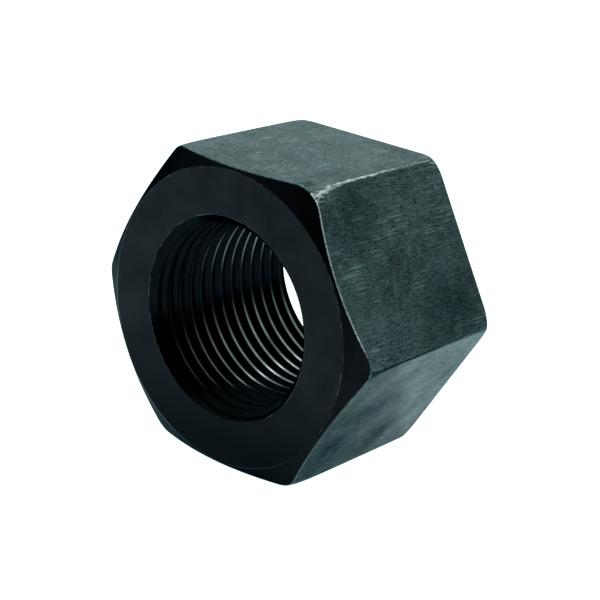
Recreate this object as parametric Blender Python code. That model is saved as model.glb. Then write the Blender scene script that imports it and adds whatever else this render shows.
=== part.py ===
"""Thick hexagon nut, M20 x 1.5 fine thread, 30 mm across flats, 19.7 mm high.

One piece of steel. The nut stands on one of its wrench flats with its thread
axis along Y. Its turned face, with the wide 30 degree chamfer, looks towards
-Y, and the origin is on the thread axis, midway between the two faces.

Everything is modelled with the thread axis along the local Z axis and the
turned face on top, and an empty turns the whole nut so that local +Z is -Y.
"""

import math

import bmesh
import bpy

MM = 0.001

# Driving dimensions, in metres.
THREAD_MAJOR_D = 20.0 * MM
THREAD_PITCH = 1.5 * MM
THREAD_MINOR_D = 18.5 * MM
ACROSS_FLATS = 30.0 * MM
HEIGHT = 19.7 * MM
EDGE_ROUND = 0.40 * MM
FRONT_FACE_D = 29.3 * MM
BACK_FACE_D = 32.8 * MM
CHAMFER_DEG = 30.0
FRONT_MOUTH_D = 20.3 * MM
FRONT_MOUTH_HALF_ANGLE_DEG = 45.0
BACK_MOUTH_D = 20.1 * MM
BACK_MOUTH_HALF_ANGLE_DEG = 60.0

# Where the thread crest crosses local +X, above mid-height.
THREAD_START = 1.21 * MM

# Facets around the axis: the chamfers, and each turn of the bore and thread.
RIM_SEGMENTS = 96
BORE_SEGMENTS = 48

# How far the cutters run past the metal that they cut.
OVERCUT = 1.2 * MM

HALF_HEIGHT = HEIGHT / 2
CORNER_RADIUS = ACROSS_FLATS / 2 / math.cos(math.radians(30))
MINOR_RADIUS = THREAD_MINOR_D / 2
MAJOR_RADIUS = THREAD_MAJOR_D / 2


def clear_scene():
    """Remove every object that the file starts with."""
    for obj in list(bpy.data.objects):
        bpy.data.objects.remove(obj, do_unlink=True)


def black_oxide_steel():
    """Return the near-black, slightly green finish of oxidised steel."""
    mat = bpy.data.materials.new("black_oxide_steel")
    mat.use_nodes = True
    shader = mat.node_tree.nodes["Principled BSDF"]
    shader.inputs["Base Color"].default_value = (0.022, 0.030, 0.031, 1.0)
    shader.inputs["Metallic"].default_value = 0.85
    shader.inputs["Roughness"].default_value = 0.42
    return mat


def add_object(name, bm, parent):
    """Write a bmesh into a new object under the given parent."""
    bmesh.ops.recalc_face_normals(bm, faces=bm.faces)
    mesh = bpy.data.meshes.new(name)
    bm.to_mesh(mesh)
    bm.free()
    obj = bpy.data.objects.new(name, mesh)
    obj.parent = parent
    bpy.context.scene.collection.objects.link(obj)
    return obj


def add_ring(bm, points):
    """Add one closed ring of vertices."""
    return [bm.verts.new(point) for point in points]


def bridge(bm, ring_a, ring_b):
    """Join two rings of the same count with quads."""
    for i in range(len(ring_a)):
        j = (i + 1) % len(ring_a)
        bm.faces.new((ring_a[i], ring_a[j], ring_b[j], ring_b[i]))


def turned_solid(name, profile, segments, parent):
    """Turn (radius, z) points around Z and close both ends with flat caps."""
    bm = bmesh.new()
    rings = []
    for radius, z in profile:
        turn = [2 * math.pi * i / segments for i in range(segments)]
        points = [(radius * math.cos(a), radius * math.sin(a), z) for a in turn]
        rings.append(add_ring(bm, points))
    for lower, upper in zip(rings, rings[1:]):
        bridge(bm, lower, upper)
    bm.faces.new(rings[0])
    bm.faces.new(rings[-1])
    return add_object(name, bm, parent)


def hexagon_bar(name, parent):
    """Cut length of hexagon bar with two flats across local Y and rounded long edges."""
    bm = bmesh.new()
    corners = [math.radians(60 * i) for i in range(6)]
    xy = [(CORNER_RADIUS * math.cos(a), CORNER_RADIUS * math.sin(a)) for a in corners]
    bottom = add_ring(bm, [(x, y, -HALF_HEIGHT) for x, y in xy])
    top = add_ring(bm, [(x, y, HALF_HEIGHT) for x, y in xy])
    bridge(bm, bottom, top)
    bm.faces.new(bottom)
    bm.faces.new(top)
    long_edges = [e for e in bm.edges if abs(e.verts[0].co.z - e.verts[1].co.z) > HALF_HEIGHT]
    # A fillet of this radius between flanks at 120 degrees starts this far from the edge.
    setback = EDGE_ROUND * math.tan(math.radians(30))
    bmesh.ops.bevel(
        bm, geom=long_edges, offset=setback, offset_type="OFFSET",
        segments=3, profile=0.5, affect="EDGES",
    )
    return add_object(name, bm, parent)


def chamfer_envelope(parent):
    """Turned shape that trims the hexagon's corners at both ends."""
    slope = math.tan(math.radians(CHAMFER_DEG))
    rim = CORNER_RADIUS + OVERCUT
    profile = [
        (BACK_FACE_D / 2 - OVERCUT / slope, -HALF_HEIGHT - OVERCUT),
        (rim, -HALF_HEIGHT + (rim - BACK_FACE_D / 2) * slope),
        (rim, HALF_HEIGHT - (rim - FRONT_FACE_D / 2) * slope),
        (FRONT_FACE_D / 2 - OVERCUT / slope, HALF_HEIGHT + OVERCUT),
    ]
    return turned_solid("chamfer_envelope", profile, RIM_SEGMENTS, parent)


def bore_cutter(parent):
    """Bore at the minor diameter, with a countersink at each mouth."""
    front_slope = math.tan(math.radians(FRONT_MOUTH_HALF_ANGLE_DEG))
    back_slope = math.tan(math.radians(BACK_MOUTH_HALF_ANGLE_DEG))
    profile = [
        (BACK_MOUTH_D / 2 + OVERCUT * back_slope, -HALF_HEIGHT - OVERCUT),
        (MINOR_RADIUS, -HALF_HEIGHT + (BACK_MOUTH_D / 2 - MINOR_RADIUS) / back_slope),
        (MINOR_RADIUS, HALF_HEIGHT - (FRONT_MOUTH_D / 2 - MINOR_RADIUS) / front_slope),
        (FRONT_MOUTH_D / 2 + OVERCUT * front_slope, HALF_HEIGHT + OVERCUT),
    ]
    return turned_solid("bore_cutter", profile, BORE_SEGMENTS, parent)


def thread_cutter(parent):
    """Right-hand helical ridge that cuts the 60 degree thread groove.

    The groove is 1/8 of the pitch wide at the major diameter, and its flanks
    open by 30 degrees to each side towards the axis. The ridge starts inside
    the bore, so its root leaves no skin there.
    """
    root = MINOR_RADIUS - OVERCUT / 2
    half_bottom = THREAD_PITCH / 16
    half_mouth = half_bottom + (MAJOR_RADIUS - MINOR_RADIUS) * math.tan(math.radians(30))
    section = [
        (root, -half_mouth),
        (MINOR_RADIUS, -half_mouth),
        (MAJOR_RADIUS, -half_bottom),
        (MAJOR_RADIUS, half_bottom),
        (MINOR_RADIUS, half_mouth),
        (root, half_mouth),
    ]
    turns = math.ceil(HEIGHT / THREAD_PITCH) + 2
    # A groove runs half a pitch above the crest.
    start = THREAD_START + THREAD_PITCH / 2 - THREAD_PITCH * math.ceil(turns / 2)
    bm = bmesh.new()
    rings = []
    for i in range(turns * BORE_SEGMENTS + 1):
        angle = 2 * math.pi * i / BORE_SEGMENTS
        z = start + THREAD_PITCH * i / BORE_SEGMENTS
        x, y = math.cos(angle), math.sin(angle)
        rings.append(add_ring(bm, [(r * x, r * y, z + dz) for r, dz in section]))
    for ring_a, ring_b in zip(rings, rings[1:]):
        bridge(bm, ring_a, ring_b)
    bm.faces.new(rings[0])
    bm.faces.new(rings[-1])
    return add_object("thread_cutter", bm, parent)


def cut(body, tool, operation):
    """Add an exact Boolean to the body and hide its tool."""
    modifier = body.modifiers.new(tool.name, "BOOLEAN")
    modifier.operation = operation
    modifier.solver = "EXACT"
    modifier.object = tool
    tool.hide_render = True
    tool.display_type = "WIRE"


def build():
    """Model the nut and lay its thread axis along Y."""
    clear_scene()
    frame = bpy.data.objects.new("nut_frame", None)
    bpy.context.scene.collection.objects.link(frame)

    nut = hexagon_bar("hex_nut", frame)
    cut(nut, chamfer_envelope(frame), "INTERSECT")
    cut(nut, bore_cutter(frame), "DIFFERENCE")
    cut(nut, thread_cutter(frame), "DIFFERENCE")
    nut.data.materials.append(black_oxide_steel())
    nut.data.set_sharp_from_angle(angle=math.radians(25))

    frame.rotation_euler = (math.radians(90), 0.0, 0.0)


build()
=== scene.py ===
"""Looks of a thick M20 x 1.5 hexagon nut in black oxide steel.

The nut stands on a wrench flat with its thread axis along Y and its turned face
towards -Y. Lengths in this file are millimetres, and angles are degrees, unless
a name or a comment says otherwise.
"""

import logging
import math
from dataclasses import dataclass, field
from enum import IntEnum
from typing import Any

import bmesh
import bpy
import numpy as np
from mathutils import Matrix, Vector


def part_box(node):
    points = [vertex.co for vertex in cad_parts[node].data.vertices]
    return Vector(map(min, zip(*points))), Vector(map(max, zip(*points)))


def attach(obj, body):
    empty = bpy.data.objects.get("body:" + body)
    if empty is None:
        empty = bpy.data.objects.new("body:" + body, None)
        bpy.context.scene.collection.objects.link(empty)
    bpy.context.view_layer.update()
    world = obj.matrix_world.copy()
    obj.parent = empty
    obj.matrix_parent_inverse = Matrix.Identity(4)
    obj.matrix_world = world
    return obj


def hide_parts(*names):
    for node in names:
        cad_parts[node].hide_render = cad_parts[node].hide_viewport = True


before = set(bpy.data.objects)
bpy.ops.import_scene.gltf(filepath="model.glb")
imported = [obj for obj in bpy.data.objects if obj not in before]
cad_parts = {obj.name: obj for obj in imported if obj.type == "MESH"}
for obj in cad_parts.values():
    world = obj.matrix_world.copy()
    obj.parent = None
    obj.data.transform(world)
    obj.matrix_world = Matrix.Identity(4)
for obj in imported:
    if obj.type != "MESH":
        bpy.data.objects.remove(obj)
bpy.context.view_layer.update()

MM = 0.001
NODE = "hex_nut"
LOG = logging.getLogger("hex_nut")
# Angle from one long edge of the nut to the next.
SIXTH = math.radians(60)

Array = np.ndarray
Pair = tuple[float, float]
Socket = bpy.types.NodeSocket
Tree = bpy.types.NodeTree


class Zone(IntEnum):
    """Differently finished surfaces of the nut. The value is the material slot."""

    FLAT = 0
    FACE = 1
    CHAMFER = 2
    THREAD = 3


# ---------------------------------------- small helpers


def linear(colour: str) -> tuple[float, float, float, float]:
    """Turn an sRGB hex colour into linear RGBA.

    Args:
        colour: six hex digits, with or without a leading #.

    Returns:
        Linear red, green and blue from 0 to 1, and an alpha of 1.
    """
    digits = colour.lstrip("#")
    parts = np.array([int(digits[i:i + 2], 16) / 255 for i in (0, 2, 4)])
    low, high = parts / 12.92, ((parts + 0.055) / 1.055) ** 2.4
    red, green, blue = np.where(parts <= 0.04045, low, high).tolist()
    return red, green, blue, 1.0


def add_node(tree: Tree, kind: str, inputs: dict[Any, Any] | None = None, **settings: Any) -> Any:
    """Add one shader node with its settings, and set or link its inputs.

    Args:
        tree: the node tree to add to.
        kind: the node's Blender type.
        inputs: socket name or index to a value, or to the socket that feeds it.
        settings: properties of the node itself, such as operation="ADD".

    Returns:
        The new node.
    """
    node = tree.nodes.new(kind)
    for name, value in settings.items():
        setattr(node, name, value)
    for key, value in (inputs or {}).items():
        if isinstance(value, Socket):
            tree.links.new(value, node.inputs[key])
        else:
            node.inputs[key].default_value = value
    return node


def smooth_falloff(distance: Array, width: Array | float) -> Array:
    """Bell curve that is 1 at no distance: e to the minus squared (distance over width)."""
    return np.exp(-((distance / width) ** 2))


# ---------------------------------------- the nut's shape


@dataclass(frozen=True)
class Outline:
    """Hexagon across the thread axis, with two flats level and its long edges rounded.

    A direction around the axis is an angle from +X towards +Z. The flats face
    30, 90, 150... degrees, and the long edges stand at 0, 60, 120...
    """

    apothem: float
    edge_round: float = 0.40
    # Both ends of each long edge are knocked round. The extra radius dies away along
    # the edge, and its strengths at the turned face and at the back go from +X.
    tip_round: float = 3.4
    tip_reach: float = 1.5
    tip_strength: tuple[float, ...] = (0.55, 1.0, 0.25, 0.3, 0.4, 0.5)
    heel_round: float = 1.3
    heel_reach: float = 0.8
    heel_strength: tuple[float, ...] = (0.5, 0.9, 0.5, 0.6, 0.4, 0.15)
    per_flat: int = 27
    per_edge: int = 17
    edge_span: float = 7.0

    def columns(self) -> Array:
        """Directions of the grid's columns, in radians, once around.

        The columns crowd quadratically towards each long edge, and they are evenly
        spaced along each flat between two edges.

        Returns:
            Rising angles, starting at the +X long edge's first column.
        """
        half = self.per_edge // 2
        step = np.arange(-half, half + 1) / half
        edge = np.sign(step) * step**2 * math.radians(self.edge_span)
        reach = math.tan((SIXTH / 2 - math.radians(self.edge_span)))
        flat = SIXTH / 2 + np.arctan(np.linspace(-reach, reach, self.per_flat + 2)[1:-1])
        sector = np.concatenate([edge, flat])
        return (sector[None, :] + np.radians(60 * np.arange(6))[:, None]).ravel()

    def edge_angle(self, angle: Array) -> Array:
        """Angle from the nearest long edge, in radians, from -30 to 30 degrees."""
        return (angle + SIXTH / 2) % SIXTH - SIXTH / 2

    def nearest_edge(self, angle: Array) -> Array:
        """Number of the nearest long edge, from 0 at +X to 5."""
        return np.round(angle / SIXTH).astype(int) % 6

    def rounding(self, angle: Array, past_tip: Array, to_heel: Array) -> Array:
        """Radius of the nearest long edge's rounding.

        Args:
            angle: direction around the axis, in radians.
            past_tip: distance along the axis from the edge's tip at the turned face.
            to_heel: distance along the axis to the edge's other tip.

        Returns:
            The even rounding plus both tips', which fall exponentially along the edge.
        """
        nearest = self.nearest_edge(angle)
        front, back = np.array(self.tip_strength)[nearest], np.array(self.heel_strength)[nearest]
        tip = self.tip_round * front * np.exp(-np.maximum(past_tip, 0) / self.tip_reach)
        heel = self.heel_round * back * np.exp(-np.maximum(to_heel, 0) / self.heel_reach)
        return self.edge_round + tip + heel

    def reach(self, rounding: Array) -> Array:
        """Angle from a long edge, in radians, at which a rounding meets the flat."""
        tangent = (self.apothem - rounding) * math.tan(SIXTH / 2)
        return SIXTH / 2 - np.arctan(tangent / self.apothem)

    def across_edge(self, angle: Array, rounding: Array) -> Array:
        """Place across the nearest rounding: -1 and 1 where it meets the two flats."""
        return self.edge_angle(angle) / self.reach(rounding)

    def radius(self, angle: Array, rounding: Array) -> Array:
        """Distance from the axis to the outline.

        On a flat it is the apothem over the cosine of the angle from the flat's
        normal. Within the rounding it is where the ray meets a circle of that
        radius whose centre lies on the edge's own direction.

        Args:
            angle: direction around the axis, in radians.
            rounding: radius of the long edge's rounding there.

        Returns:
            The distance, the smaller of the two.
        """
        off = self.edge_angle(angle)
        flat = self.apothem / np.cos(SIXTH / 2 - np.abs(off))
        centre = (self.apothem - rounding) / math.cos(SIXTH / 2)
        under = np.maximum(rounding**2 - (centre * np.sin(off)) ** 2, 0)
        round_part = centre * np.cos(off) + np.sqrt(under)
        return np.where(np.abs(off) < self.reach(rounding), round_part, flat)


@dataclass(frozen=True)
class Countersink:
    """Cone that opens one end of the bore, with its rim rounded."""

    diameter: float
    half_angle: float
    rounding: float = 0.09

    def start(self) -> Pair:
        """Work out where the cone meets the rim's rounding.

        Returns:
            The radius, and the depth below the face.
        """
        half = math.radians(self.half_angle)
        tangent = self.rounding * math.tan((math.pi / 2 - half) / 2)
        return self.diameter / 2 - tangent * math.sin(half), tangent * math.cos(half)

    def normal(self, side: float) -> Array:
        """Outward normal of the cone, as (radius, along), at the end of that sign."""
        half = math.radians(self.half_angle)
        return np.array([-math.cos(half), side * math.sin(half)])


@dataclass(frozen=True)
class Section:
    """Half section of the nut's outside in the plane of the axis, as (radius, along) pairs.

    "along" is the distance along the axis from mid-height, negative at the turned face.
    """

    half_height: float
    face_d: float = 29.3
    back_d: float = 32.8
    chamfer: float = 30.0
    front_mouth: Countersink = Countersink(20.3, 45.0)
    back_mouth: Countersink = Countersink(20.1, 60.0)
    face_round: float = 0.10
    flank_round: float = 0.18
    back_round: float = 0.28
    arc_points: int = 4
    brow_points: int = 5
    # Rows along each straight run, as shares of the way, closest to its ends.
    face_steps: tuple[float, ...] = (0.01, 0.05, 0.25, 0.5, 0.75, 0.95, 0.99)
    chamfer_steps: tuple[float, ...] = (0.06, 0.3, 0.6, 0.94)
    corner_steps: tuple[float, ...] = (0.1, 0.5, 0.9)
    flat_rows: int = 38

    @staticmethod
    def arc(centre: Array, first: Array, last: Array, radius: float, count: int) -> Array:
        """Arc from one outward normal to the next.

        The normal swings between the two as a weighted sum by sines, so that it
        keeps its length, and each point is the centre plus radius times normal.

        Args:
            centre: (columns, 2) centres.
            first: outward normal at the start.
            last: outward normal at the end.
            radius: the arc's radius.
            count: points on the arc, both ends included.

        Returns:
            (columns, count, 2) points.
        """
        swing = math.acos(float(first @ last))
        share = np.linspace(0, 1, count)[:, None]
        weighted = np.sin((1 - share) * swing) * first + np.sin(share * swing) * last
        normal = weighted / math.sin(swing)
        return centre[:, None, :] + radius * normal[None, :, :]

    def fillet(self, corner: Array, first: Array, last: Array, radius: float, count: int) -> Array:
        """Arc that rounds a corner: its centre is moved inwards by radius from both lines."""
        centre = corner - radius * (first + last) / (1 + float(first @ last))
        return self.arc(centre, first, last, radius, count)

    @staticmethod
    def straight(start: Array, end: Array, steps: Array | tuple[float, ...]) -> Array:
        """Points between two columns of points at the given shares of the way."""
        return start[:, None, :] + np.array(steps)[None, :, None] * (end - start)[:, None, :]


@dataclass(frozen=True)
class Run:
    """One stretch of the half section: its (columns, rows, 2) points and its zone.

    Its last field is how far its middle row shows steel, with a painted highlight
    on the mouths and the face's rim, as one value or one for each column.
    """

    points: Array
    zone: Zone
    rubbed_and_lit: Array | float = 0.0


@dataclass
class Skin:
    """Vertices, quads and per-vertex steel showing, painted highlight and painted shade of one
    closed nut, gathered grid by grid.
    """

    weld: float = 0.0004
    points: list[Array] = field(default_factory=list)
    quads: list[Array] = field(default_factory=list)
    uvs: list[Array] = field(default_factory=list)
    zones: list[Array] = field(default_factory=list)
    wear_and_light: list[Array] = field(default_factory=list)
    count: int = 0

    def add(self, points: Array, uv: Array, zone: Array, wear_and_light: Array, shift: int) -> None:
        """Add one grid that closes around the axis.

        Column i joins column i + 1, and the last joins the first. A helical grid
        has climbed by shift rows when it comes round.

        Args:
            points: (columns, rows, 3) places.
            uv: (columns + 1, rows, 2) surface coordinates, the last column being the first again.
            zone: (rows,) zone of the quads above each row.
            wear_and_light: (columns, rows) steel showing with painted highlight, and below 0
                darker, partly painted shade.
            shift: rows by which the last column is ahead of the first.
        """
        columns, rows = points.shape[:2]
        column = np.arange(columns)[:, None]
        row = np.arange(rows - 1)[None, :]
        after = (column + 1) % columns
        drop = np.where(column == columns - 1, shift, 0)
        near, far = np.maximum(row - drop, 0), np.maximum(row + 1 - drop, 0)
        start = column * rows + row
        quads = np.stack(np.broadcast_arrays(
            start, after * rows + near, after * rows + far, start + 1), -1)
        corners = [uv[:-1, :-1], uv[1:, :-1], uv[1:, 1:], uv[:-1, 1:]]
        self.points.append(points.reshape(-1, 3))
        self.quads.append(quads.reshape(-1, 4) + self.count)
        self.uvs.append(np.stack(corners, 2).reshape(-1, 4, 2))
        self.zones.append(np.broadcast_to(zone[None, :-1], quads.shape[:2]).ravel())
        self.wear_and_light.append(wear_and_light.ravel())
        self.count += columns * rows

    def mesh(self, name: str) -> bpy.types.Mesh:
        """Make the mesh, weld the grids to each other and turn every face outwards.

        Args:
            name: the mesh's name.

        Returns:
            A closed mesh in metres, with UV map "surface" in millimetres and attribute "wear",
            which holds steel showing, painted highlight and painted shade.
        """
        mesh = bpy.data.meshes.new(name)
        quads = np.concatenate(self.quads)
        mesh.from_pydata(np.concatenate(self.points) * MM, [], quads)
        mesh.polygons.foreach_set("material_index", np.concatenate(self.zones).astype(np.int32))
        layer = mesh.uv_layers.new(name="surface")
        layer.uv.foreach_set("vector", np.concatenate(self.uvs).astype(np.float32).ravel())
        # Steel showing and painted highlights; below 0, darker patches that are partly painted
        # shade.
        wear_and_light = mesh.attributes.new("wear_and_light", "FLOAT", "POINT")
        wear_and_light.data.foreach_set("value", np.concatenate(self.wear_and_light).astype(np.float32))
        work = bmesh.new()
        work.from_mesh(mesh)
        bmesh.ops.remove_doubles(work, verts=work.verts, dist=self.weld * MM)
        bmesh.ops.recalc_face_normals(work, faces=work.faces)
        work.to_mesh(mesh)
        work.free()
        mesh.shade_smooth()
        return mesh


@dataclass(frozen=True)
class StainAndShade:
    """Soft-edged darker patch of blacker oxide on one flat; on flat 5, the lower right
    one, the patches are partly painted shade.

    The flats are numbered from the one facing 30 degrees. The patch's middle is
    given across the flat from the flat's middle, rising with the angle around the
    axis, and along the axis from mid-height.
    """

    flat: int
    across: float
    along: float
    width: float
    length: float
    depth: float


@dataclass(frozen=True)
class WearAndLight:
    """How far each kind of edge shows steel, from 0 to 1, which along the long edges, the
    mouths and the face's rim is also a painted highlight. Below 0 it is darker instead.

    The brows are the edges between chamfer and flat, flat by flat from the one
    facing 30 degrees, and the long edges go from +X.
    """

    # Mouths and the face's rim: steel showing and a painted highlight along the rounding.
    mouth: float = 0.68
    rim: float = 0.62
    heel: float = 0.15
    tip: float = 0.50
    brow: tuple[float, ...] = (1.30, 0.1, 0.3, 0.3, 0.4, 0.0)
    # Long edges: steel and a painted highlight; the +X edge is darkened instead.
    edge: tuple[float, ...] = (-0.8, 1.12, 0.4, 0.35, 0.5, 0.4)
    # A long edge shows the most steel this far from its tip, over this length, and a
    # little to one side of its rounding's middle, whose half width is 1, where its
    # painted highlight falls.
    edge_middle: float = 6.0
    edge_length: float = 5.0
    edge_highlight_aside: float = 0.35
    edge_width: float = 0.55
    # A darkened long edge keeps the brows from showing steel this far around, in degrees.
    darkened_edge_reach: float = 7.0
    # Darker patches; those on flat 5, the lower right one, are partly painted shade.
    stains_and_shade: tuple[StainAndShade, ...] = (
        StainAndShade(0, -6.0, 4.5, 4.5, 7.0, 0.60), StainAndShade(0, 5.0, -5.0, 4.0, 3.0, 0.20),
        StainAndShade(5, -1.0, -10.0, 14.0, 12.0, 0.45), StainAndShade(5, 1.4, -4.0, 1.7, 4.5, 0.25),
        StainAndShade(5, -3.0, -6.0, 2.0, 2.0, 0.15), StainAndShade(5, -8.0, -2.0, 7.0, 14.0, 0.36),
        StainAndShade(0, 5.5, -3.0, 3.0, 5.0, 0.28), StainAndShade(1, -7.6, -8.3, 1.2, 1.6, 0.65),
        StainAndShade(5, -4.0, 2.5, 2.5, 2.0, 0.25), StainAndShade(1, -4.0, -6.5, 3.0, 2.0, 0.20),
        StainAndShade(3, 2.0, 1.0, 4.0, 5.0, 0.40), StainAndShade(4, -3.0, 3.0, 5.0, 4.0, 0.30),
        StainAndShade(2, 1.0, -2.0, 4.0, 3.0, 0.30),
    )
    # The thread's crests show steel and a painted highlight, laid where the light
    # would fall: dimmer around one direction, in degrees, by the given share, dimmer
    # on the roof than on the floor, and dimmer by the turned face.
    crest_dim_side: float = 190.0
    crest_dim_share: float = 0.85
    crest_dim_spread: float = 0.10
    crest_level: float = 0.75
    crest_floor: float = 0.25
    crest_front: float = 0.4
    crest_ramp: Pair = (-0.8, 0.2)

    def along_edge(self, past_tip: Array) -> Array:
        """Share of a long edge's steel and painted highlight past its tip: a bell curve above the
        tip's own.
        """
        bell = smooth_falloff(past_tip - self.edge_middle, self.edge_length)
        return self.tip + (1 - self.tip) * bell

    def on_crests(self, angle: Array, depth: Array) -> Array:
        """How far the thread's crests show steel and a painted highlight.

        It falls with the sine of the angle, drops in a bell curve around the
        dim side, and rises evenly from the turned face to just past mid-height.

        Args:
            angle: direction around the axis, in radians.
            depth: place along the axis, from 0 at mid-height to 1 at the back mouth.

        Returns:
            The value, from 0 to 1.
        """
        off = np.cos(angle - math.radians(self.crest_dim_side)) - 1
        sides = (self.crest_level - self.crest_floor * np.sin(angle)) * (
            1 - self.crest_dim_share * np.exp(off / self.crest_dim_spread))
        return sides * np.interp(depth, self.crest_ramp, [self.crest_front, 1.0])


@dataclass(frozen=True)
class HexNut:
    """The whole nut: hexagon, chamfers, countersinks and thread."""

    outline: Outline
    section: Section
    # Steel showing, painted highlights, and darker patches that are partly painted shade.
    wear_and_light: WearAndLight = field(default_factory=WearAndLight)
    major_d: float = 20.0
    minor_d: float = 18.5
    pitch: float = 1.5
    # Distance along the axis from mid-height to the crest that crosses +X.
    crest_at_x: float = 0.29
    crest_round: float = 0.05
    root_round: float = 0.09
    # Width of the band of steel and painted highlight across each crest.
    crest_band_width: float = 0.16

    def outside(self, skin: Skin) -> None:
        """Add everything outside the bore, from mouth to mouth.

        Each column is one half section: mouth rounding, turned face, rounding,
        chamfer, rounding, flat, rounding, corner chamfer, rounding, back face and
        mouth rounding.

        Args:
            skin: where the grid goes.
        """
        shape, form = self.section, self.outline
        angle = form.columns()
        tilt = math.radians(shape.chamfer)
        front, back = -shape.half_height, shape.half_height
        to_face = np.array([0.0, -1.0])
        to_chamfer = np.array([math.sin(tilt), -math.cos(tilt)])
        to_flat = np.array([1.0, 0.0])
        flip = np.array([1.0, -1.0])

        none, whole = np.zeros_like(angle), np.full_like(angle, 2 * back)
        tip_radius = form.radius(angle, form.rounding(angle, none, whole))
        end_radius = form.radius(angle, form.rounding(angle, whole, none))
        tip_along = front + (tip_radius - shape.face_d / 2) * math.tan(tilt)

        def pairs(radius: Array | float, along: Array | float) -> Array:
            """One (radius, along) pair for each column."""
            return np.stack(np.broadcast_arrays(radius + 0 * angle, along + 0 * angle), -1)

        near, far = shape.front_mouth, shape.back_mouth
        count = shape.arc_points
        mouth = shape.fillet(
            pairs(near.diameter / 2, front), near.normal(-1), to_face, near.rounding, count)
        rim = shape.fillet(
            pairs(shape.face_d / 2, front), to_face, to_chamfer, shape.face_round, count)
        brow = shape.fillet(
            pairs(tip_radius, tip_along), to_chamfer, to_flat, shape.flank_round, shape.brow_points)

        # The back corner's two fillets share a radius. Where the corner chamfer misses
        # the flat's middle, both centres meet at the plain right-angled corner.
        inset = shape.back_round
        line = shape.back_d / 2 * math.sin(tilt) + back * math.cos(tilt) - inset
        side, end = end_radius - inset, back - inset
        low = np.minimum((line - side * math.sin(tilt)) / math.cos(tilt), end)
        high = np.minimum((line - end * math.cos(tilt)) / math.sin(tilt), side)
        heel = shape.arc(pairs(side, low), to_flat, to_chamfer * flip, inset, count)
        seat = shape.arc(pairs(high, end), to_chamfer * flip, to_face * flip, inset, count)
        lip = shape.fillet(
            pairs(far.diameter / 2, back), to_face * flip, far.normal(1), far.rounding, count)

        # Flat rows: closest near both ends, where the tips' rounding changes fast.
        rows = (1 - np.cos(np.linspace(0, math.pi, shape.flat_rows + 2)[1:-1])) / 2
        flat = shape.straight(brow[:, -1], heel[:, 0], rows)
        around = angle[:, None]
        past_tip, to_heel = flat[:, :, 1] - brow[:, -1:, 1], heel[:, :1, 1] - flat[:, :, 1]
        flat[:, :, 0] = form.radius(around, form.rounding(around, past_tip, to_heel))

        worn_and_lit = self.wear_and_light
        steps = shape.face_steps
        runs = [
            Run(mouth, Zone.FACE, worn_and_lit.mouth),
            Run(shape.straight(mouth[:, -1], rim[:, 0], steps), Zone.FACE),
            Run(rim, Zone.FACE, worn_and_lit.rim),
            Run(shape.straight(rim[:, -1], brow[:, 0], shape.chamfer_steps), Zone.CHAMFER),
            Run(brow, Zone.FLAT, self.brow_wear(angle)),
            Run(flat, Zone.FLAT),
            Run(heel, Zone.FLAT, worn_and_lit.heel),
            Run(shape.straight(heel[:, -1], seat[:, 0], shape.corner_steps), Zone.FLAT),
            Run(seat, Zone.FACE, worn_and_lit.heel),
            Run(shape.straight(seat[:, -1], lip[:, 0], steps), Zone.FACE),
            Run(lip, Zone.FACE, worn_and_lit.mouth),
        ]
        path = np.concatenate([run.points for run in runs], 1)
        zone = np.concatenate([np.full(run.points.shape[1], run.zone.value) for run in runs])
        flat_wear_and_light = self.flat_wear_and_light(angle, flat[:, :, 1], to_heel)
        wear_and_light = np.concatenate(
            [flat_wear_and_light if run.points is flat else self.middle_wear_and_light(run) for run in runs], 1)
        skin.add(self.around(angle, path), self.outside_uv(angle, path), zone, wear_and_light, 0)

    @staticmethod
    def around(angle: Array, path: Array) -> Array:
        """Places of (radius, along) pairs: radius times cosine, along, and radius times sine."""
        radius, along, turn = path[..., 0], path[..., 1], angle[:, None]
        return np.stack([radius * np.cos(turn), along, radius * np.sin(turn)], -1)

    def outside_uv(self, angle: Array, path: Array) -> Array:
        """Surface coordinates: way around the hexagon, and way along the section.

        Args:
            angle: (columns,) directions, in radians.
            path: (columns, rows, 2) section.

        Returns:
            (columns + 1, rows, 2) millimetres, the last column one full turn on.
        """
        closed = np.append(angle, angle[0] + 2 * math.pi)
        flat_no = np.floor(closed / SIXTH)
        side = 2 * self.outline.apothem * math.tan(SIXTH / 2)
        from_normal = closed - SIXTH * flat_no - SIXTH / 2
        way = side * (flat_no + 0.5) + self.outline.apothem * np.tan(from_normal)
        wrapped = np.concatenate([path, path[:1]])
        step = np.linalg.norm(np.diff(wrapped, axis=1), axis=2)
        run = np.concatenate([np.zeros((len(closed), 1)), np.cumsum(step, 1)], 1)
        return np.stack(np.broadcast_arrays(way[:, None], run), -1)

    def brow_wear(self, angle: Array) -> Array:
        """Brow values: each flat's own, less by the tip of a darkened edge.

        Args:
            angle: (columns,) directions, in radians.

        Returns:
            (columns,) wear.
        """
        brow = np.array(self.wear_and_light.brow)[np.floor(angle / SIXTH).astype(int) % 6]
        darkened = np.minimum(np.array(self.wear_and_light.edge)[self.outline.nearest_edge(angle)], 0)
        near = smooth_falloff(self.outline.edge_angle(angle), math.radians(self.wear_and_light.darkened_edge_reach))
        return brow * (1 + darkened * near)

    @staticmethod
    def middle_wear_and_light(run: Run) -> Array:
        """Steel and painted highlight of one run's rows: half a sine wave, which is highest along
        the run's middle.
        """
        columns, rows = run.points.shape[:2]
        return np.broadcast_to(run.rubbed_and_lit, columns)[:, None] * np.sin(np.linspace(0, math.pi, rows))

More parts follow.
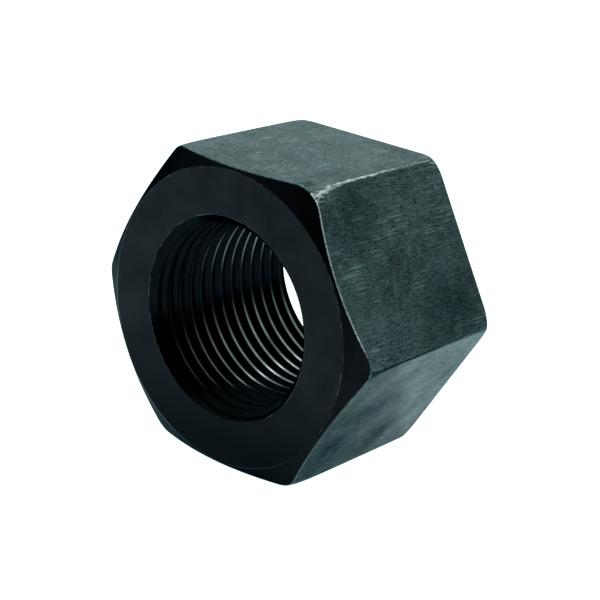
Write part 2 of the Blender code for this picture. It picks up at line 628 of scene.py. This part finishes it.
    def flat_wear_and_light(self, angle: Array, along: Array, to_heel: Array) -> Array:
        """How far each vertex of the flats shows steel, from 0 to 1, with a painted highlight along
        the long edges.

        The long edges show it across their rounding: a bell curve, a little to
        one side of the middle, where the highlight falls. Each darker patch, partly
        painted shade on the lower right flat, takes away a bell curve both ways.

        Args:
            angle: (columns,) directions, in radians.
            along: (columns, rows) distances along the axis from mid-height.
            to_heel: (columns, rows) distances to the long edges' back tips.

        Returns:
            (columns, rows) values, below 0 where it is darker.
        """
        form, worn_and_lit = self.outline, self.wear_and_light
        past_tip = along - along[:, :1]
        rounding = form.rounding(angle[:, None], past_tip, to_heel)
        place = form.across_edge(angle[:, None], rounding)
        edge = np.array(worn_and_lit.edge)[form.nearest_edge(angle)][:, None]
        bell = smooth_falloff(place + worn_and_lit.edge_highlight_aside, worn_and_lit.edge_width)
        wear_and_light = edge * worn_and_lit.along_edge(past_tip) * bell

        side = np.floor(angle / SIXTH) % 6
        across = form.apothem * np.tan(angle % SIXTH - SIXTH / 2)
        for dark_patch in worn_and_lit.stains_and_shade:
            bell = smooth_falloff(across - dark_patch.across, dark_patch.width) * (side == dark_patch.flat)
            wear_and_light -= dark_patch.depth * bell[:, None] * smooth_falloff(along - dark_patch.along, dark_patch.length)
        return wear_and_light

    def thread_profile(self) -> tuple[Array, Array, Array]:
        """One pitch of the thread, from the middle of a crest to just before the next.

        The crest is flat at the minor diameter, the flanks lean 30 degrees from
        square, and the root is 1/8 of the pitch wide. Each corner is an arc.

        Returns:
            Distances along the axis, radii, and the crest's steel and painted highlight,
            which is 1 along the crest's middle.
        """
        minor, major = self.minor_d / 2, self.major_d / 2
        lean = math.radians(30)
        rise = (major - minor) * math.tan(lean)
        root_half = self.pitch / 16
        crest_half = self.pitch / 2 - root_half - rise
        swing = np.linspace(0, 2 * lean, self.section.arc_points)

        crest_tangent = self.crest_round * math.tan(lean)
        crest_along = crest_half - crest_tangent + self.crest_round * np.sin(swing)
        crest_radius = minor + self.crest_round * (1 - np.cos(swing))
        root_tangent = self.root_round * math.tan(lean)
        root_start = self.pitch / 2 - root_half + root_tangent
        root_along = root_start - self.root_round * np.sin(swing[::-1])
        root_radius = major - self.root_round * (1 - np.cos(swing[::-1]))

        rising_along = np.concatenate([crest_along, root_along])
        rising_radius = np.concatenate([crest_radius, root_radius])
        falling_along = self.pitch - rising_along[::-1]
        along = np.concatenate([[0], rising_along, [self.pitch / 2], falling_along])
        radius = np.concatenate([[minor], rising_radius, [major], rising_radius[::-1]])
        off_crest = (along + self.pitch / 2) % self.pitch - self.pitch / 2
        wear_and_light = smooth_falloff(off_crest, self.crest_band_width)
        return along, radius, wear_and_light

    def bore(self, skin: Skin) -> None:
        """Add the threaded bore with both countersinks.

        Rows follow the helix: each sits at its profile height plus whole pitches,
        minus one pitch per turn, which is a right-hand thread. The radius is the
        larger of the thread's and the countersink cone's. Where the two cross
        between rows, the nearer row is moved onto the crossing. Rows past a face
        gather on the mouth's edge, where they are welded.

        Args:
            skin: where the grid goes.
        """
        angle = self.outline.columns()
        profile_along, profile_radius, profile_wear_and_light = self.thread_profile()
        near, far = self.section.front_mouth, self.section.back_mouth
        (near_radius, near_depth), (far_radius, far_depth) = near.start(), far.start()
        front, back = near_depth - self.section.half_height, self.section.half_height - far_depth
        first = math.floor((front - self.crest_at_x) / self.pitch) - 1
        last = math.ceil((back - self.crest_at_x) / self.pitch) + 3
        turns = np.arange(first, last)[:, None] * self.pitch
        level = (self.crest_at_x + turns + profile_along[None, :]).ravel()
        thread = np.tile(profile_radius, last - first)[None, :] + 0 * angle[:, None]
        along = level[None, :] - self.pitch * angle[:, None] / (2 * math.pi)

        near_slope = math.tan(math.radians(near.half_angle))
        far_slope = math.tan(math.radians(far.half_angle))
        near_cone = near_radius - near_slope * (along - front)
        cone = np.maximum(near_cone, far_radius - far_slope * (back - along))
        gap = thread - cone
        cross = gap[:, :-1] * gap[:, 1:] < 0
        share = np.where(cross, gap[:, :-1] / np.where(cross, gap[:, :-1] - gap[:, 1:], 1), 0)
        at = along[:, :-1] + share * np.diff(along, axis=1)
        on = thread[:, :-1] + share * np.diff(thread, axis=1)
        lower, upper = cross & (share < 0.5), cross & (share >= 0.5)
        radius = np.maximum(thread, cone)
        for move, rows in ((lower, slice(None, -1)), (upper, slice(1, None))):
            along[:, rows] = np.where(move, at, along[:, rows])
            radius[:, rows] = np.where(move, on, radius[:, rows])

        radius = np.where(along < front, near_radius, np.where(along > back, far_radius, radius))
        along = np.clip(along, front, back)

        whole = np.clip(1 - (radius - self.minor_d / 2) / (2 * self.crest_round), 0, 1)
        # Crest steel and painted highlight, brighter where the light would catch it.
        rubbed_and_lit = self.wear_and_light.on_crests(angle[:, None], along / back)
        crest = rubbed_and_lit * np.tile(profile_wear_and_light, last - first)[None, :] * whole
        closed = np.append(angle, angle[0] + 2 * math.pi)
        way = closed[:, None] * self.major_d / 2 + 0 * level[None, :]
        uv = np.stack(np.broadcast_arrays(way, level[None, :]), -1)
        zone = np.full(len(level), Zone.THREAD.value)
        path = np.stack([radius, along], -1)
        skin.add(self.around(angle, path), uv, zone, crest, len(profile_along))

    def build(self, finishes: dict[Zone, bpy.types.Material]) -> bpy.types.Object:
        """Make the nut and dress it.

        Args:
            finishes: a material for each zone.

        Returns:
            The nut, riding on the row's body and standing for its CAD node.
        """
        skin = Skin()
        self.outside(skin)
        self.bore(skin)
        mesh = skin.mesh("nut_body")
        for zone in Zone:
            mesh.materials.append(finishes[zone])
        piece = bpy.data.objects.new("nut_body", mesh)
        bpy.context.scene.collection.objects.link(piece)
        even = piece.modifiers.new("even_shading", "WEIGHTED_NORMAL")
        even.keep_sharp = True
        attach(piece, "root")
        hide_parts(NODE)
        LOG.info("%s: %d faces, %d vertices", piece.name, len(mesh.polygons), len(mesh.vertices))
        return piece


# ---------------------------------------- finishes


@dataclass(frozen=True)
class Lay:
    """Direction in which a pattern is drawn out, as an angle from the way around the nut.

    One unit of the pattern takes "length" along that direction and "spacing" across it.
    """

    turn: float
    length: float
    spacing: float


@dataclass(frozen=True)
class Scratches:
    """One set of fine scratches, each as long as its lay says and that far from the next.

    "width" is the share of the spacing that one takes, "strength" how far the set
    shows, from 0 to 1, and "seed" makes it differ from another set.
    """

    lay: Lay
    width: float
    strength: float
    seed: float


class Brush:
    """One material's shader under construction, with its patterns measured in millimetres."""

    def __init__(self, name: str) -> None:
        """Start a metal.

        Args:
            name: the material's name.
        """
        self.material = bpy.data.materials.new(name)
        self.material.use_nodes = True
        self.tree = self.material.node_tree
        self.shader = self.tree.nodes["Principled BSDF"]
        self.shader.inputs["Metallic"].default_value = 1.0
        place = add_node(self.tree, "ShaderNodeTexCoord")
        self.solid = add_node(self.tree, "ShaderNodeVectorMath", {
            0: place.outputs["Object"], "Scale": 1 / MM}, operation="SCALE").outputs[0]
        self.skin = add_node(self.tree, "ShaderNodeUVMap", uv_map="surface").outputs[0]
        self.wear_and_light = add_node(
            self.tree, "ShaderNodeAttribute", attribute_name="wear_and_light").outputs["Fac"]

    def cloud(self, size: float, detail: float = 2.0, vector: Socket | None = None,
              seed: float = 0.0) -> Socket:
        """Noise from 0 to 1.

        Args:
            size: how far apart its blotches are, in units of where it is read.
            detail: how many finer layers it has.
            vector: where it is read, which is the solid in millimetres unless given.
            seed: offset that makes one noise differ from another.

        Returns:
            The noise.
        """
        moved = add_node(self.tree, "ShaderNodeVectorMath", {
            0: vector or self.solid, 1: (seed, 1.7 * seed, 0.0)}, operation="ADD").outputs[0]
        return add_node(self.tree, "ShaderNodeTexNoise", {
            "Vector": moved, "Scale": 1 / size, "Detail": detail, "Roughness": 0.6}).outputs["Fac"]

    def blend(self, value: Socket, low: float, high: float,
              start: float = 0.0, end: float = 1.0) -> Socket:
        """Map a value's range from low to high onto start to end, held at both ends."""
        return add_node(self.tree, "ShaderNodeMapRange", {
            "Value": value, "From Min": low, "From Max": high, "To Min": start, "To Max": end,
        }).outputs[0]

    def spread(self, noise: Socket, start: float = 0.0, end: float = 1.0) -> Socket:
        """Map a noise onto start to end: nearly all of its values lie from 0.3 to 0.7."""
        return self.blend(noise, 0.3, 0.7, start, end)

    def combine(self, kind: str, *terms: Socket | float) -> Socket:
        """Combine values by one arithmetic operation."""
        return add_node(
            self.tree, "ShaderNodeMath", dict(enumerate(terms)), operation=kind).outputs[0]

    def tint(self, amount: Socket, under: Socket | str, over: Socket | str) -> Socket:
        """Lay one colour over another by an amount from 0 to 1."""
        below, above = (linear(c) if isinstance(c, str) else c for c in (under, over))
        return add_node(self.tree, "ShaderNodeMix", {
            0: amount, 6: below, 7: above}, data_type="RGBA").outputs[2]

    def drawn_out(self, lay: Lay) -> Socket:
        """Surface coordinates turned to a lay, and counted in its lengths and spacings.

        Args:
            lay: the direction and the two sizes.

        Returns:
            The coordinates.
        """
        turned = add_node(self.tree, "ShaderNodeVectorRotate", {
            "Vector": self.skin, "Angle": math.radians(-lay.turn)},
            rotation_type="Z_AXIS").outputs[0]
        return add_node(self.tree, "ShaderNodeVectorMath", {
            0: turned, 1: (1 / lay.length, 1 / lay.spacing, 1.0)}, operation="MULTIPLY").outputs[0]

    def scratches(self, kind: Scratches) -> Socket:
        """Fine lines: where a noise stretched along them passes through its middle value.

        The noise strays about a quarter either way in one spacing, and a second,
        coarser noise breaks the lines off.

        Args:
            kind: the set.

        Returns:
            Its strength in the middle of a line, falling to 0 at the line's sides.
        """
        noise = self.cloud(1.0, 1.0, self.drawn_out(kind.lay), kind.seed)
        off = self.combine("ABSOLUTE", self.combine("SUBTRACT", noise, 0.5))
        line = self.blend(off, 0.0, 0.25 * kind.width, 1.0, 0.0)
        breaks = self.cloud(0.6 * kind.lay.length, 2.0, self.skin, kind.seed + 31.0)
        broken = self.blend(breaks, 0.45, 0.62)
        return self.combine("MULTIPLY", self.combine("MULTIPLY", line, broken), kind.strength)

    def finish(self, colour: Socket, roughness: Socket, height: Socket,
               depth: float) -> bpy.types.Material:
        """Wire the shader up.

        Args:
            colour: base colour.
            roughness: roughness.
            height: relief from 0 to 1.
            depth: the relief's depth in millimetres.

        Returns:
            The finished material.
        """
        bump = add_node(self.tree, "ShaderNodeBump", {"Height": height, "Distance": depth * MM})
        ends = {"Base Color": colour, "Roughness": roughness, "Normal": bump.outputs[0]}
        for name, value in ends.items():
            self.tree.links.new(value, self.shader.inputs[name])
        return self.material


@dataclass(frozen=True)
class ForgedOxide:
    """Black oxide over forged flats that have been handled and slid about.

    Black oxide is a thin magnetite skin, blue-black and faintly glossy. On the flats
    it is patchy, with fine scratches mostly along the axis, and the edges show the
    steel through it. On the long edges that steel is partly a painted highlight, and
    the darker patches on the lower right flat are partly painted shade.
    """

    name: str = "black_oxide_forged"
    soot_and_shade: str = "#0E1415"
    dark: str = "#161F1F"
    light: str = "#415452"
    blue: str = "#3F5257"
    scratch: str = "#6E8585"
    bare_and_highlight: str = "#DCE4E5"
    roughness: Pair = (0.52, 0.34)
    sheen: str = "#F6FBFB"
    dull: str = "#87979B"
    # The tone runs from dark at 0 to light at 1. The forged skin's grain and the
    # fine lines along the axis are each multiplied by their contrast and added,
    # and the patches shift the sum. Roughness also goes patch by patch.
    patch: float = 5.0
    patch_shift: Pair = (-2.60, -2.00)
    grain: float = 0.16
    grain_contrast: float = 3.2
    lines: Lay = Lay(93.0, 1.0, 0.13)
    lines_contrast: float = 2.4
    blue_patch: float = 6.0
    blue_at: Pair = (0.35, 0.65)
    # Real scratches are about 0.01 mm wide. These are a few times wider, to show.
    scratched: tuple[Scratches, ...] = (
        Scratches(Lay(91.0, 8.0, 0.40), 0.08, 1.0, 3.0),
        Scratches(Lay(92.0, 4.0, 0.18), 0.14, 0.6, 11.0),
        Scratches(Lay(14.0, 5.0, 0.55), 0.08, 0.5, 19.0),
    )
    scratch_strength: float = 0.75
    pit: float = 0.45
    pit_at: Pair = (0.36, 0.30)
    pit_strength: float = 0.8
    # The edges' steel and painted highlight are ragged: this pattern shifts their
    # value between these two.
    rag: Lay = Lay(90.0, 1.1, 0.30)
    rag_shift: Pair = (-0.45, 0.30)
    bare_and_highlight_at: Pair = (0.25, 1.05)
    soot_and_shade_at: Pair = (0.05, 0.9)
    soot_and_shade_ragged: float = 0.3
    soot_and_shade_strength: float = 0.9
    # Flecks and darker patches, which are partly painted shade, take the sheen away.
    fleck: Lay = Lay(93.0, 0.5, 0.22)
    fleck_at: Pair = (0.42, 0.66)
    fleck_strength: float = 0.45
    relief: float = 0.018
    relief_size: float = 0.8
    scratch_relief: float = -0.3
    lines_relief: float = 0.5

    def material(self) -> bpy.types.Material:
        """Build the material.

        Returns:
            The finished material.
        """
        brush = Brush(self.name)
        patches = brush.cloud(self.patch, detail=5.0)
        grain = brush.cloud(self.grain, seed=7.0)
        lines = brush.cloud(1.0, vector=brush.drawn_out(self.lines), seed=27.0)
        grain = brush.combine("MULTIPLY", grain, self.grain_contrast)
        fine = brush.combine("MULTIPLY_ADD", lines, self.lines_contrast, grain)
        tone = brush.combine("ADD", fine, brush.spread(patches, *self.patch_shift))
        blues = brush.blend(brush.cloud(self.blue_patch, seed=77.0), *self.blue_at)
        hue = brush.tint(blues, self.light, self.blue)
        colour = brush.tint(brush.blend(tone, 0.0, 1.0), self.dark, hue)

        marks, *others = (brush.scratches(kind) for kind in self.scratched)
        for other in others:
            marks = brush.combine("MAXIMUM", marks, other)
        shown = brush.combine("MULTIPLY", marks, self.scratch_strength)
        colour = brush.tint(shown, colour, self.scratch)
        pits = brush.blend(brush.cloud(self.pit, detail=3.0, seed=23.0), *self.pit_at)
        colour = brush.tint(brush.combine("MULTIPLY", pits, self.pit_strength), colour, self.dark)

        ragged = brush.cloud(1.0, vector=brush.drawn_out(self.rag), seed=41.0)
        ragged = brush.spread(ragged, *self.rag_shift)
        # Steel on the edges, which on the long edges is partly a painted highlight.
        rubbed_and_lit = brush.blend(brush.combine("ADD", brush.wear_and_light, ragged), *self.bare_and_highlight_at)
        colour = brush.tint(rubbed_and_lit, colour, self.bare_and_highlight)
        # Darker patches: blacker oxide, partly painted shade on the lower right flat, and the
        # darkened +X edge.
        darkened = brush.combine("MULTIPLY", ragged, self.soot_and_shade_ragged)
        darkened = brush.blend(brush.combine("SUBTRACT", darkened, brush.wear_and_light), *self.soot_and_shade_at)
        colour = brush.tint(brush.combine("MULTIPLY", darkened, self.soot_and_shade_strength), colour, self.soot_and_shade)

        relief = brush.cloud(self.relief_size, detail=4.0, seed=5.0)
        relief = brush.combine("MULTIPLY_ADD", lines, self.lines_relief, relief)
        relief = brush.combine("MULTIPLY_ADD", marks, self.scratch_relief, relief)
        fleck = brush.cloud(1.0, detail=3.0, vector=brush.drawn_out(self.fleck), seed=61.0)
        fleck = brush.blend(fleck, *self.fleck_at, 0.0, self.fleck_strength)
        # The darker patches, partly painted shade, also dull the specular tint.
        sheen = brush.tint(brush.combine("MAXIMUM", darkened, fleck), self.sheen, self.dull)
        brush.tree.links.new(sheen, brush.shader.inputs["Specular Tint"])
        roughness = brush.spread(patches, *self.roughness)
        return brush.finish(colour, roughness, relief, self.relief)


@dataclass(frozen=True)
class TurnedOxide:
    """Black oxide over a lathe-turned surface, with close tool marks around the axis.

    It is smoother and blacker than on the flats, and its mouth and rim roundings show
    steel that is partly a painted highlight. Towards the nut's underside its colour
    shifts: a painted shade on the face, and a painted light on the chamfer.
    """

    name: str
    dark: str
    light: str
    painted_underside: str = "#030507"
    # Steel on the mouth and rim roundings, partly a painted highlight.
    bare_and_highlight: str = "#7C888B"
    roughness: Pair = (0.42, 0.34)
    sheen: str = "#D6E2E4"
    patch: float = 3.0
    # Heights from the axis between which the colour shifts to the underside colour:
    # a painted shade on the face and a painted light on the chamfer.
    painted_underside_span: Pair = (-3.0, -12.5)
    rag: float = 1.2
    rag_shift: Pair = (-0.30, 0.25)
    bare_and_highlight_at: Pair = (0.45, 0.95)
    # The tool marks' spacing is the feed of a finishing cut.
    rings: Lay = Lay(0.0, 20.0, 0.12)
    relief: float = 0.002

    def material(self) -> bpy.types.Material:
        """Build the material.

        Returns:
            The finished material.
        """
        brush = Brush(self.name)
        patches = brush.cloud(self.patch, detail=4.0)
        colour = brush.tint(brush.spread(patches), self.dark, self.light)
        ragged = brush.spread(brush.cloud(self.rag, detail=3.0, seed=41.0), *self.rag_shift)
        # Steel along the mouth and rim roundings, partly a painted highlight.
        rubbed_and_lit = brush.blend(brush.combine("ADD", brush.wear_and_light, ragged), *self.bare_and_highlight_at)
        colour = brush.tint(rubbed_and_lit, colour, self.bare_and_highlight)
        # Painted shade on the face, painted light on the chamfer, by height.
        level = add_node(brush.tree, "ShaderNodeSeparateXYZ", {0: brush.solid}).outputs["Z"]
        colour = brush.tint(brush.blend(level, *self.painted_underside_span), colour, self.painted_underside)
        rings = brush.cloud(1.0, vector=brush.drawn_out(self.rings))
        brush.shader.inputs["Specular Tint"].default_value = linear(self.sheen)
        roughness = brush.spread(patches, *self.roughness)
        return brush.finish(colour, roughness, rings, self.relief)


@dataclass(frozen=True)
class CutThread:
    """Black oxide on a tapped thread: black, slightly oily, with its crests showing steel and a
    painted highlight.
    """

    name: str = "black_oxide_thread"
    dark: str = "#05080B"
    light: str = "#0B0F12"
    # Colour of the crests' steel, which is also their painted highlight.
    crest: str = "#B0B9BC"
    sheen: str = "#BAC6CA"
    roughness: Pair = (0.16, 0.24)
    patch: float = 2.0
    bare_and_highlight_at: Pair = (0.15, 1.0)
    # Patches of the crests show less steel and highlight, down to this share.
    crest_patch: float = 3.0
    crest_least: float = 0.3
    relief: float = 0.002
    relief_size: float = 0.4

    def material(self) -> bpy.types.Material:
        """Build the material.

        Returns:
            The finished material.
        """
        brush = Brush(self.name)
        patches = brush.cloud(self.patch, detail=3.0)
        colour = brush.tint(brush.spread(patches), self.dark, self.light)
        share = brush.cloud(self.crest_patch, detail=3.0, seed=9.0)
        share = brush.spread(share, self.crest_least, 1.0)
        # The crests' steel and painted highlight.
        worn_and_lit = brush.blend(brush.wear_and_light, *self.bare_and_highlight_at)
        colour = brush.tint(brush.combine("MULTIPLY", worn_and_lit, share), colour, self.crest)
        relief = brush.cloud(self.relief_size, detail=3.0, seed=15.0)
        brush.shader.inputs["Specular Tint"].default_value = linear(self.sheen)
        roughness = brush.spread(patches, *self.roughness)
        return brush.finish(colour, roughness, relief, self.relief)


# ---------------------------------------- the studio


@dataclass(frozen=True)
class Studio:
    """Camera, pale floor and soft light."""

    azimuth: float = 39.31
    elevation: float = 20.48
    roll: float = 4.84
    lens: float = 98.00
    distance: float = 162.1
    # How far the nut's centre lies right of and below the middle of the view, as
    # shares of its distance.
    aside: float = -0.0050
    below: float = -0.0016
    # The table's plastic and its light, and half its side, in metres.
    plastic: str = "#8E9494"
    glow: str = "#E4FAFD"
    glow_strength: float = 1.32
    table_half: float = 3.0
    # Half the curtain's width, its distance from the nut, and its foot and top, in metres.
    velvet: str = "#101010"
    curtain_half: float = 0.9
    curtain_off: float = 0.45
    curtain_ends: Pair = (-0.02, 0.9)
    room: str = "#EAFBFB"
    room_strength: float = 0.97

    def camera(self) -> bpy.types.Object:
        """Place the camera.

        It looks along a direction turned by azimuth from +Y and tipped down by
        elevation, is rolled about that direction, and is then moved sideways so
        that the nut's centre lies where aside and below say.

        Returns:
            The camera, made the scene's own.
        """
        turn, tip, lean = (math.radians(a) for a in (self.azimuth, self.elevation, self.roll))
        ahead = Vector((-math.sin(turn), math.cos(turn), 0))
        level = Vector((math.cos(turn), math.sin(turn), 0))
        look = math.cos(tip) * ahead - math.sin(tip) * Vector((0, 0, 1))
        rise = level.cross(look)
        right = math.cos(lean) * level + math.sin(lean) * rise
        up = -math.sin(lean) * level + math.cos(lean) * rise
        eye = -(look + self.aside * right - self.below * up) * self.distance * MM
        data = bpy.data.cameras.new("camera")
        data.lens = self.lens
        data.clip_start = 0.01
        camera = bpy.data.objects.new("camera", data)
        axes = Matrix((right, up, -look)).transposed()
        camera.matrix_world = Matrix.Translation(eye) @ axes.to_4x4()
        bpy.context.scene.collection.objects.link(camera)
        bpy.context.scene.camera = camera
        return camera

    @staticmethod
    def sheet(name: str, stuff: str, corners: list[tuple[float, float, float]],
              inputs: dict[str, Any]) -> bpy.types.Object:
        """Make one flat sheet with four corners.

        Args:
            name: the sheet's name.
            stuff: what it is made of, which names its material.
            corners: its corners in metres, anticlockwise as seen from its front.
            inputs: settings of its shader.

        Returns:
            The sheet.
        """
        mesh = bpy.data.meshes.new(name)
        mesh.from_pydata(corners, [], [(0, 1, 2, 3)])
        material = bpy.data.materials.new(stuff)
        material.use_nodes = True
        for key, value in inputs.items():
            material.node_tree.nodes["Principled BSDF"].inputs[key].default_value = value
        mesh.materials.append(material)
        sheet = bpy.data.objects.new(name, mesh)
        bpy.context.scene.collection.objects.link(sheet)
        return sheet

    def floor(self, level: float) -> bpy.types.Object:
        """Lay the floor, a white acrylic table that is lit from within.

        Args:
            level: height of its surface, in metres.

        Returns:
            The floor.
        """
        half = self.table_half
        corners = [(x * half, y * half, level) for x, y in ((-1, -1), (1, -1), (1, 1), (-1, 1))]
        floor = self.sheet("floor", "white_acrylic_table", corners, {
            "Base Color": linear(self.plastic), "Roughness": 0.6,
            "Emission Color": linear(self.glow), "Emission Strength": self.glow_strength})
        return floor

    def curtain(self) -> bpy.types.Object:
        """Hang a black velvet curtain behind the camera, square to its view.

        It shows in the nut's reflections only.

        Returns:
            The curtain.
        """
        half, off = self.curtain_half, self.curtain_off
        foot, top = self.curtain_ends
        corners = [(-half, -off, top), (half, -off, top), (half, -off, foot), (-half, -off, foot)]
        curtain = self.sheet("curtain", "black_velvet_curtain", corners, {
            "Base Color": linear(self.velvet), "Roughness": 1.0})
        curtain.data.transform(Matrix.Rotation(math.radians(self.azimuth), 4, "Z"))
        curtain.visible_camera = False
        return curtain

    def softbox(self, name: str, place: tuple[float, float, float], size: float,
                power: float) -> bpy.types.Object:
        """Hang one square softbox that faces the nut.

        Args:
            name: the light's name.
            place: where it hangs, in metres.
            size: its side, in metres.
            power: its power, in watts.

        Returns:
            The light.
        """
        data = bpy.data.lights.new(name, "AREA")
        data.size = size
        data.energy = power
        light = bpy.data.objects.new(name, data)
        light.rotation_euler = (-Vector(place)).to_track_quat("-Z", "Y").to_euler()
        light.location = place
        bpy.context.scene.collection.objects.link(light)
        return light

    def world(self) -> None:
        """Fill the room with an even, slightly cool white."""
        world = bpy.data.worlds.new("white_room")
        world.use_nodes = True
        background = world.node_tree.nodes["Background"]
        background.inputs["Color"].default_value = linear(self.room)
        background.inputs["Strength"].default_value = self.room_strength
        bpy.context.scene.world = world


def main() -> None:
    """Build the nut, dress it, and set up the studio."""
    logging.basicConfig(level=logging.INFO, format="%(name)s: %(message)s")
    low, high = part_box(NODE)
    outline = Outline(apothem=(high.z - low.z) / 2 / MM)
    section = Section(half_height=(high.y - low.y) / 2 / MM)
    finishes = {
        Zone.FLAT: ForgedOxide().material(),
        # The face's underside colour is darker than its own: a painted shade.
        Zone.FACE: TurnedOxide("black_oxide_turned", dark="#101315", light="#181B1D").material(),
        # The chamfer's underside colour is lighter than its own: a painted light.
        Zone.CHAMFER: TurnedOxide(
            "black_oxide_chamfer", dark="#0A0D0F", light="#101315", painted_underside="#141719",
            sheen="#A0AAAC").material(),
        Zone.THREAD: CutThread().material(),
    }
    HexNut(outline, section).build(finishes)
    studio = Studio()
    studio.camera()
    studio.floor(low.z)
    studio.curtain()
    studio.world()
    studio.softbox("top_softbox", place=(-0.25, 0.25, 0.6), size=0.5, power=3.0)
    bpy.context.scene.view_settings.view_transform = "Standard"


if __name__ == "__main__":
    main()
